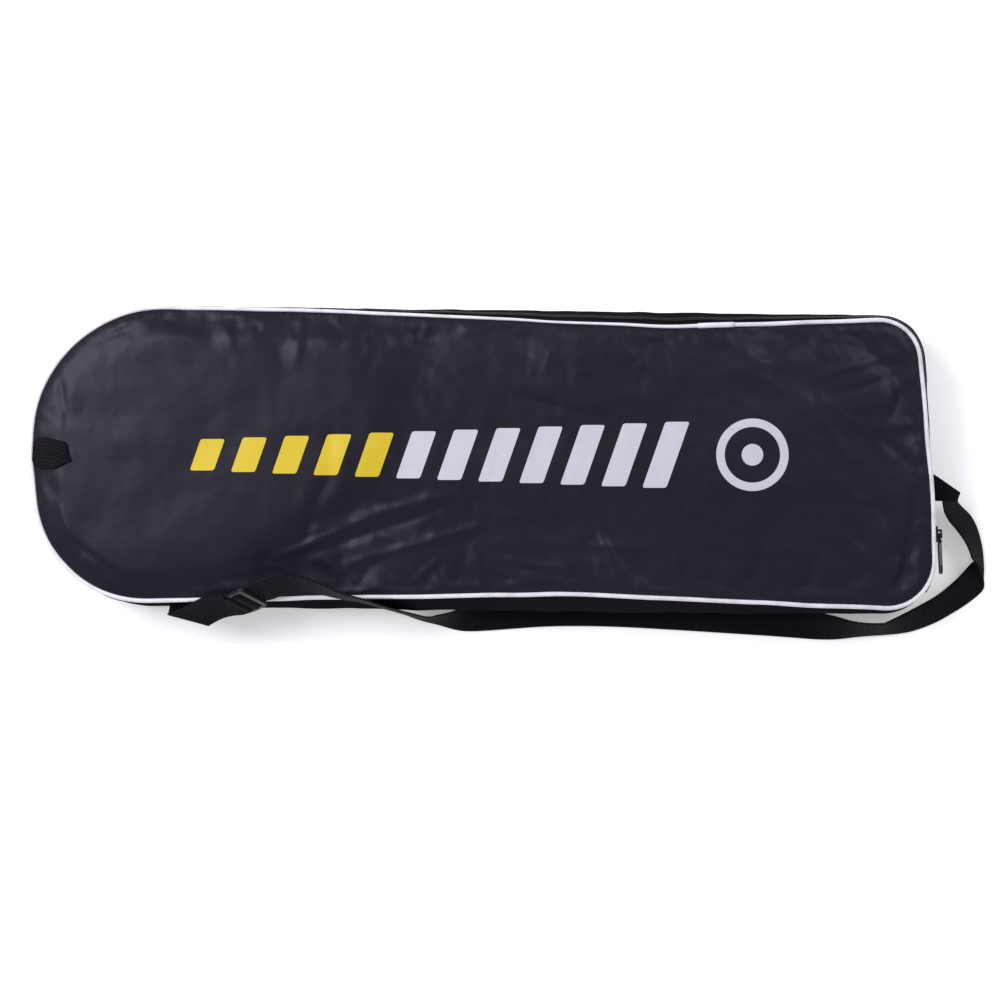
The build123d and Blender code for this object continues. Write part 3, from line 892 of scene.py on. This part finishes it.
def ribbon(name, left, right, thick=WEB_T):
    """Webbing between two rows of edge points, with a lengthwise and crosswise map."""
    left, right = np.array(left, float), np.array(right, float)
    mid = (left + right) / 2
    across = right - left
    width = np.linalg.norm(across, axis=1)
    across /= width[:, None]
    normal = unit_rows(np.cross(across, headings(mid)))
    run = np.concatenate([[0], np.cumsum(np.linalg.norm(np.diff(mid, axis=0), axis=1))])
    verts, uvs = [], []
    for i in range(len(mid)):
        section = web_section(width[i], thick)
        for a, b in section:
            verts.append(mid[i] + across[i] * a + normal[i] * b)
            uvs.append((run[i], a))
    faces = hoop_faces(len(mid), len(section)) + end_caps(len(mid), len(section))
    return mesh_object(name, verts, faces, uvs)


def rolled_edges(centre, roll, width):
    """Left and right edges of a ribbon whose left edge is lifted by roll degrees."""
    ahead = headings(centre)
    side = unit_rows(np.cross((0, 0, 1.0), ahead))
    up = np.cross(ahead, side)
    r = np.radians(roll)[:, None]
    wide = side * np.cos(r) + up * np.sin(r)
    return centre + wide * width / 2, centre - wide * width / 2


def through(rows, count):
    """That many points along a smooth line through the rows."""
    return np.array([spline(rows, (len(rows) - 1) * k / (count - 1)) for k in range(count)])


# the strap's line in metres and the roll of its left edge in degrees, from the adjuster along the ground
STRAP = [
    ((-0.1925, -0.1168, 0.0692), 49), ((-0.1882, -0.1146, 0.0718), 49), ((-0.1770, -0.1112, 0.0754), 47),
    ((-0.1670, -0.1074, 0.0754), 48), ((-0.1580, -0.1056, 0.0754), 51),
    ((-0.1480, -0.1062, 0.0756), 57), ((-0.1356, -0.1100, 0.0757), 66), ((-0.1190, -0.1160, 0.0756), 75),
    ((-0.1030, -0.1196, 0.0752), 79), ((-0.0920, -0.1236, 0.0650), 80), ((-0.0790, -0.1286, 0.0460), 80),
    ((-0.0650, -0.1336, 0.0275), 80), ((-0.0505, -0.1386, 0.0156), 78), ((-0.0380, -0.1394, 0.0124), 66),
    ((-0.0250, -0.1398, 0.0096), 46), ((-0.0100, -0.1382, 0.0038), 12), ((0.0140, -0.1364, 0.0014), 0),
    ((0.0560, -0.1332, 0.0014), 0), ((0.1100, -0.1336, 0.0014), 0), ((0.1600, -0.1364, 0.0014), 0),
    ((0.2200, -0.1402, 0.0014), 0), ((0.2660, -0.1432, 0.0016), 2), ((0.2960, -0.1466, 0.0074), 29),
    ((0.3200, -0.1488, 0.0124), 62), ((0.3400, -0.1478, 0.0122), 62),
]
# its last stretch is folded up and back to the seam, so both of its edges are given, in millimetres
TURN_LEFT = [
    (353.8, -135.8, 19.0), (371.4, -127.4, 14.4), (388, -118.0, 12.4), (404.2, -105.4, 8.4),
    (417.6, -92.4, 3.2), (418.2, -89.6, 12), (414.6, -86.9, 20.4), (411.8, -79.9, 21.4),
    (408.2, -72.3, 20.4), (401.4, -63.4, 22.4), (394.2, -56.0, 27.0), (389.8, -49.4, 29.2),
    (388.2, -43.8, 29.6), (387.4, -38.0, 29.6), (387.2, -33.0, 29.6),
]
TURN_RIGHT = [
    (364.4, -151.0, 1.2), (386.2, -143.6, 1.0), (403.4, -134.2, 1.0), (417.0, -125.4, 1.0),
    (429.0, -114.6, 1.0), (429.6, -105, 1.2), (429.5, -95.0, 1.6), (428.6, -82.6, 2.2),
    (426.0, -70.2, 3.4), (421.6, -58.6, 6.0), (415.6, -49.9, 9.6), (409.4, -44.4, 12.6),
    (405.6, -40.6, 13.0), (404.0, -37.4, 13.0), (403.6, -33.0, 13.0),
]


def shoulder_strap():
    centre = route_points([p for p, _ in STRAP])
    roll = route_points([(r, 0, 0) for _, r in STRAP])[:, 0]
    left, right = rolled_edges(centre / MM, roll, WEB_W)
    left = np.vstack([left, through([tuple(left[-1]), *TURN_LEFT], TURN_STEPS)[1:]])
    right = np.vstack([right, through([tuple(right[-1]), *TURN_RIGHT], TURN_STEPS)[1:]])
    return ribbon("shoulder_strap_webbing", left, right), (left + right) / 2 * MM


strap, strap_line = shoulder_strap()
dress(strap, WEBBING, "bag", "webbing", "shoulder_strap")

# the short webbing at the round end: out of the seam, folded back at a slant, up to the adjuster
ANCHOR_LEFT = [
    (-262, -117, 46.5), (-263, -126, 47.2), (-264.2, -132.0, 47.8), (-264.8, -132.8, 49.0),
    (-263.6, -132.0, 50.2), (-254, -128.4, 54.2), (-244.5, -124.0, 61.8), (-233, -118.0, 68.2),
    (-222.5, -115.0, 73.2), (-215.2, -114.6, 75.4),
]
ANCHOR_RIGHT = [
    (-236, -117, 46.5), (-233, -130, 47.2), (-230.0, -141.0, 47.8), (-229.2, -142.3, 49.0),
    (-228.6, -141.6, 50.2), (-226, -140.2, 50.6), (-222.5, -138.2, 52.0), (-216.0, -135.4, 53.4),
    (-208.0, -133.6, 54.2), (-201.0, -133.0, 54.6),
]
ADJUSTER_AT = (-196.5, -120.5, 67.0)
ADJUSTER_TURN, ADJUSTER_TILT = 41.0, 57.0
ADJUSTER_PLACE = Matrix.Rotation(math.radians(ADJUSTER_TILT), 4, "X") @ Matrix.Rotation(
    math.radians(ADJUSTER_TURN), 4, "Z")
# how the webbing passes the adjuster's bars, in the adjuster's own plane: (along, above)
INTO_ADJUSTER = [(-9.8, 2.7), (-7.8, 2.9), (-6.0, 2.0), (-5.0, 0.0), (-4.8, -2.4)]
ROUND_MIDDLE_BAR = [(-3.0, -2.6), (-2.9, 0.2), (-1.7, 2.3), (1.5, 2.4), (3.6, 0.4), (4.8, -2.2), (8.0, -2.7)]
# how far the webbing's upper edge spreads over the adjuster's frame before it dips in
SPREAD = [2.6, 2.2, 0.8, 0.0, 0.0]


def at_adjuster(rows, side, spread=()):
    """Points on the adjuster, where side is how far along its bars they lie."""
    spread = [*spread, *[0.0] * (len(rows) - len(spread))]
    return [tuple(Vector(ADJUSTER_AT) + ADJUSTER_PLACE @ Vector((x, side + more, z)))
            for (x, z), more in zip(rows, spread)]


anchor = ribbon("strap_anchor_webbing",
                through(ANCHOR_LEFT + at_adjuster(INTO_ADJUSTER, WEB_W / 2, SPREAD), 70),
                through(ANCHOR_RIGHT + at_adjuster(INTO_ADJUSTER, -WEB_W / 2), 70))
dress(anchor, WEBBING, "bag", "webbing", "strap_anchor")
bight = ribbon("strap_bight", through(at_adjuster(ROUND_MIDDLE_BAR, WEB_W / 2), 30),
               through(at_adjuster(ROUND_MIDDLE_BAR, -WEB_W / 2), 30))
dress(bight, WEBBING, "bag", "webbing")

# ---- webbing where the strap is sewn to the square end ----
END_LEFT = [(370, -14.5, 30.8), (378, -15, 31.4), (386, -19.8, 31.8), (396, -26.8, 32), (402.2, -30.9, 31.2)]
END_RIGHT = [
    (370, -38, 30.8), (380, -38.2, 31.2), (388, -38.4, 31.4), (395, -38.6, 31.4), (399.6, -38.8, 30.6),
]
sewn_end = ribbon("strap_sewn_end", through(END_LEFT, 24), through(END_RIGHT, 24))
dress(sewn_end, WEBBING, "bag", "webbing")


# ---- hang tab: left and right edges, with heights above the panel or the piping ----
TAB_LIFT = 0.9
TAB_UNDER = (
    [(-373.4, 7.4, 0), (-371.6, 11.2, 0.3), (-369.0, 14.4, 0.4), (-361.8, 14.2, 0.6), (-352, 12.0, 0.8),
     (-345.4, 10.0, 0.9), (-343.0, 2.0, 0.9), (-340.9, -4.6, 0.8)],
    [(-374.4, -4.8, 0), (-371.6, -8.6, 0.3), (-367.6, -11.5, 0.4), (-362, -11.8, 0.6), (-355.2, -11.6, 0.8),
     (-350, -9.4, 0.9), (-345.4, -7.2, 0.9), (-341.2, -5.4, 0.8)],
)
TAB_OVER = (
    [(-370.6, 13.2, 1.2), (-361.8, 14.3, 1.7), (-352, 12.1, 1.9), (-345.6, 10.1, 1.7), (-343.4, 2.0, 1.3),
     (-341.6, -4.0, 0.9)],
    [(-371.2, 4.0, 1.2), (-361.0, 1.8, 2.0), (-352, -1.2, 2.2), (-347.6, -2.8, 2.2), (-345.0, -3.8, 1.9),
     (-342.0, -4.8, 1.0)],
)


def tab_level(x, y):
    return max(panel_height(x, y), PIPE_Z + 2.2)


def tab_leaf(name, edges, thick):
    left, right = ([(x, y, z + TAB_LIFT + tab_level(x, y)) for x, y, z in edge] for edge in edges)
    return ribbon(name, through(left, 44), through(right, 44), thick)


# a loop of webbing folded at a slant: the upper run lies across the lower one
dress(tab_leaf("hang_tab_fold", TAB_OVER, 1.4), WEBBING, "hang_tab", "webbing")
dress(tab_leaf("hang_tab_webbing", TAB_UNDER, 1.8), WEBBING, "hang_tab", "webbing", "hang_tab")


# ================= print =================
def print_material(name, colour):
    """Screen-printed ink, thin in specks, with the cloth's threads showing through."""
    s = Shader(name, Specular_IOR_Level=0.4)
    at = s.coords()
    s.color(s.ramp(s.noise(at, 320.0, 6.0), [(0.22, shade(colour, 0.82)), (0.4, colour)]))
    s.rough(s.noise(at, 120.0), 0.42, 0.55)
    s.bump(s.waves(at, 175.0, "Y", 1.2), 0.1, 0.0002)
    return s.material


PRINT_PROUD = 0.16  # how far the ink stands above the panel
PRINT_STEP = 2.6


def draped(name, loops, material, slot):
    """Thin ink over the panel, for the CAD node named like its slot; each loop bounds a filled patch."""
    verts, faces = [], []
    for loop in loops:
        base = len(verts)
        flat, tris = fill(np.array(loop, float), PRINT_STEP, 0.5)
        verts += [(x, y, panel_height(x, y) + PRINT_PROUD) for x, y in flat]
        faces += [tuple(base + i for i in t) for t in tris]
    dress(mesh_object(name, verts, faces), material, "front_flap", slot, slot)


def dense(corners, step=2.0, radius=2.2):
    """A polygon's outline with its corners rounded and its runs divided."""
    pts = [np.array(c, float) for c in corners]
    out = []
    for i, p in enumerate(pts):
        a, b = unit(pts[i - 1] - p), unit(pts[(i + 1) % len(pts)] - p)
        for k in range(4):
            t = k / 3
            out.append((1 - t) ** 2 * (p + a * radius) + 2 * t * (1 - t) * p + t * t * (p + b * radius))
    fine = []
    for i, p in enumerate(out):
        q = out[(i + 1) % len(out)]
        n = max(1, int(np.linalg.norm(q - p) / step))
        fine += [p + (q - p) * k / n for k in range(n)]
    return fine


PRINT_LEFT, PRINT_PITCH, PRINT_BAR = -243.0, 34.0, 20.0
PRINT_LOW, PRINT_GROW, PRINT_LEAN = 26.0, 2.6, 0.35
PRINT_BARS, PRINT_YELLOW = 12, 5
RING_X, RING_OUT, RING_IN, DOT_R = 222.0, 30.0, 23.0, 9.0


def print_bar(i):
    """The outline of one slanted bar; each is taller than the one before."""
    tall = PRINT_LOW + PRINT_GROW * i
    lean = tall * PRINT_LEAN
    x, y = PRINT_LEFT + PRINT_PITCH * i, -tall / 2
    return dense([(x, y), (x + PRINT_BAR, y), (x + PRINT_BAR + lean, y + tall), (x + lean, y + tall)])


def ring_loop(radius, count=72):
    angles = np.linspace(0, 2 * math.pi, count, endpoint=False)
    return [(RING_X + radius * math.cos(a), radius * math.sin(a)) for a in angles]


def ring_grid():
    """The ring, as rows from its inner to its outer edge."""
    rows = [ring_loop(r) for r in np.linspace(RING_IN, RING_OUT, 5)]
    verts = [(x, y, panel_height(x, y) + PRINT_PROUD) for row in rows for x, y in row]
    return verts, hoop_faces(len(rows), len(rows[0]))


INK_YELLOW = print_material("yellow_print", srgb(200, 176, 34))
INK_SILVER = print_material("silver_print", srgb(189, 187, 199))
yellow_bars = [print_bar(i) for i in range(PRINT_YELLOW)]
silver_bars = [print_bar(i) for i in range(PRINT_YELLOW, PRINT_BARS)]
dot = ring_loop(DOT_R, 30)
draped("yellow_bars", yellow_bars, INK_YELLOW, "print_yellow")
draped("silver_bars", silver_bars + [dot], INK_SILVER, "print_silver")
ring = mesh_object("silver_ring", *ring_grid())
dress(ring, INK_SILVER, "front_flap", "print_silver")

# ================= back panel =================
back_flat, back_faces = fill(base_loop, 14.0)
back = mesh_object("back_panel_skin", [(x, y, 1.3) for x, y in back_flat], back_faces)
solidify(back, 1.2)
dress(back, NYLON_SIDE_SHADED, "bag", "bag_fabric", "back_panel")


# ================= game pieces =================
def soften(node, material, width, segments=2):
    """Show a CAD node with its sharp edges rounded."""
    obj = next(o for o in bpy.data.objects if o.name == node or o.name.startswith(node + "."))
    paint(obj, material)
    m = obj.modifiers.new("edges", "BEVEL")
    m.width, m.segments, m.limit_method = width * MM, segments, "ANGLE"
    m.angle_limit = math.radians(35)


def rubber(name, colour, pattern=1400.0):
    """Dull rubber with a pebbled face, dusty in patches."""
    s = Shader(name, Specular_IOR_Level=0.35)
    at = s.coords()
    s.color(s.ramp(s.noise(at, 55.0), [(0.3, shade(colour, 0.75)), (0.65, colour)]))
    s.rough(s.noise(at, 90.0), 0.5, 0.7)
    n = s.node("ShaderNodeTexVoronoi", {"Vector": at}, Scale=pattern)
    s.bump(n.outputs["Distance"], 0.5, 0.0004)
    return s.material


DARK_MOULDING = plastic("dark_moulding", srgb(42, 42, 45))
LEG_MOULDING = plastic("leg_moulding", srgb(50, 50, 54), (0.4, 0.55))
YELLOW_MOULDING = plastic("yellow_moulding", srgb(226, 190, 32), (0.32, 0.45))
FOOT = rubber("foot_rubber", srgb(30, 30, 31), 900.0)
BALL = rubber("ball_rubber", srgb(228, 200, 44))
SEAL = rubber("seal_rubber", srgb(24, 24, 25))
# the band's weave also has painted shade in its grooves
ELASTIC = webbing_material("band_elastic", srgb(10, 10, 12), srgb(36, 35, 38))
STEEL = metal("needle_steel", srgb(178, 178, 182), (0.18, 0.32), 1.0)
for i in range(1, 6):
    soften(f"rim_tube_{i}", DARK_MOULDING, 0.5)
    soften(f"rim_sleeve_{i}", YELLOW_MOULDING, 1.0)
    soften(f"leg_{i}", LEG_MOULDING, 0.5)
    soften(f"leg_foot_{i}", FOOT, 1.6, 3)
for i in range(1, 4):
    soften(f"ball_{i}", BALL, 0.5)
for node, material, width, segments in (
    ("pump_barrel", YELLOW_MOULDING, 0.8, 2),
    ("pump_cap", DARK_MOULDING, 1.0, 2),
    ("pump_plunger", DARK_MOULDING, 1.2, 3),
    ("pump_piston", SEAL, 0.4, 2),
    ("pump_needle", STEEL, 0.25, 2),
    ("net_hooks", DARK_MOULDING, 0.4, 2),
    ("strap_adjuster", BLACK_PLASTIC, 0.7, 3),
    ("zip_slider", BLACK_ENAMEL, 0.7, 3),
    ("pull_link", BLACK_ENAMEL, 0.35, 3),
    ("pull_tab", BLACK_ENAMEL, 0.4, 3),
):
    soften(node, material, width, segments)

# ---- net: one sheet of netting folded to and fro ----
NET_LAYERS = 14
NET_ROWS, NET_COLUMNS = 24, 50  # points across each layer and along the folds
NET_CELL = 0.011


def folded_net():
    """The net as one sheet that runs to and fro in layers."""
    low, high = (Vector(c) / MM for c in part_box("net"))
    x0, x1, y0, y1 = low.x + 2, high.x - 2, low.y + 3, high.y - 3
    pitch = (high.z - low.z - 1.6) / NET_LAYERS
    profile = []
    for layer in range(NET_LAYERS):
        z = low.z + 0.8 + pitch * (layer + 0.5)
        ys = np.linspace(y0, y1, NET_ROWS)
        for y in (ys if layer % 2 == 0 else ys[::-1]):
            profile.append((y, z))
    verts, uvs, faces = [], [], []
    run = 0.0
    for k, (y, z) in enumerate(profile):
        if k:
            run += math.hypot(y - profile[k - 1][0], z - profile[k - 1][1])
        inset = 1.0 + 0.02 * wave(y, z * 9, scale=20)
        for c in range(NET_COLUMNS):
            x = x0 + (x1 - x0) * c / (NET_COLUMNS - 1)
            sway = 2.4 * wave(x, z * 6, scale=30, seed=2) * (1 if y in (y0, y1) else 0.6)
            drop = 0.35 * wave(x, y, z * 5, scale=22, seed=7)
            verts.append((x * inset, y + sway, z + drop))
            uvs.append((run, x))
    for k in range(len(profile) - 1):
        for c in range(NET_COLUMNS - 1):
            a = k * NET_COLUMNS + c
            faces.append((a, a + 1, a + NET_COLUMNS + 1, a + NET_COLUMNS))
    return solidify(mesh_object("folded_net", verts, faces, uvs), 0.55, 0)


def net_pattern(name, colour):
    """Knotless netting seen from above: cords that cross over gaps painted dark, as painted shade of the
    folds below.
    """
    s = Shader(name, Roughness=0.65, Sheen_Weight=0.2)
    split = s.node("ShaderNodeSeparateXYZ", {"Vector": s.coords("UV")})
    u, v = split.outputs["X"], split.outputs["Y"]
    diagonals = []
    for slant in ("ADD", "SUBTRACT"):
        turn = s.math("MULTIPLY", s.math(slant, u, v), math.pi / NET_CELL)
        diagonals.append(s.math("ABSOLUTE", s.math("SINE", turn, 0), 0))
    cords = s.math("MINIMUM", *diagonals)
    # painted shade: between the cords the colour drops to 0.12 of the cord colour, for the folds below in
    # shadow
    s.color(s.ramp(cords, [(0.22, colour), (0.42, shade(colour, 0.12))]))
    s.bump(s.math("SUBTRACT", 1.0, cords), 1.0, 0.0016)
    s.bump(s.waves(s.coords(), 900.0, "DIAGONAL", 1.0), 0.4, 0.0003)
    return s.material


net = folded_net()
dress(net, net_pattern("netting", srgb(222, 186, 30)), "bag", "net_cord", "net")

band_low, band_high = (Vector(c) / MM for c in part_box("net_band"))
BAND_STEPS = 80
BAND_CORNER = 0.22  # smaller for squarer corners
BAND_INSET = 1.2


def squared(value):
    """A circle's cosine or sine, pushed out towards a square's side."""
    return math.copysign(abs(value) ** BAND_CORNER, value)


def net_band():
    """The elastic band round the folded net, inside its CAD node's box."""
    middle = (band_low + band_high) / 2
    size = band_high - band_low
    left, right = [], []
    for k in range(BAND_STEPS + 1):
        a = 2 * math.pi * k / BAND_STEPS
        y = middle.y + squared(math.cos(a)) * (size.y - BAND_INSET) / 2
        z = middle.z + squared(math.sin(a)) * (size.z - BAND_INSET) / 2
        left.append((band_low.x, y, z))
        right.append((band_high.x, y, z))
    return ribbon("net_band_elastic", left, right, 1.0)


dress(net_band(), ELASTIC, "bag", "band_elastic", "net_band")
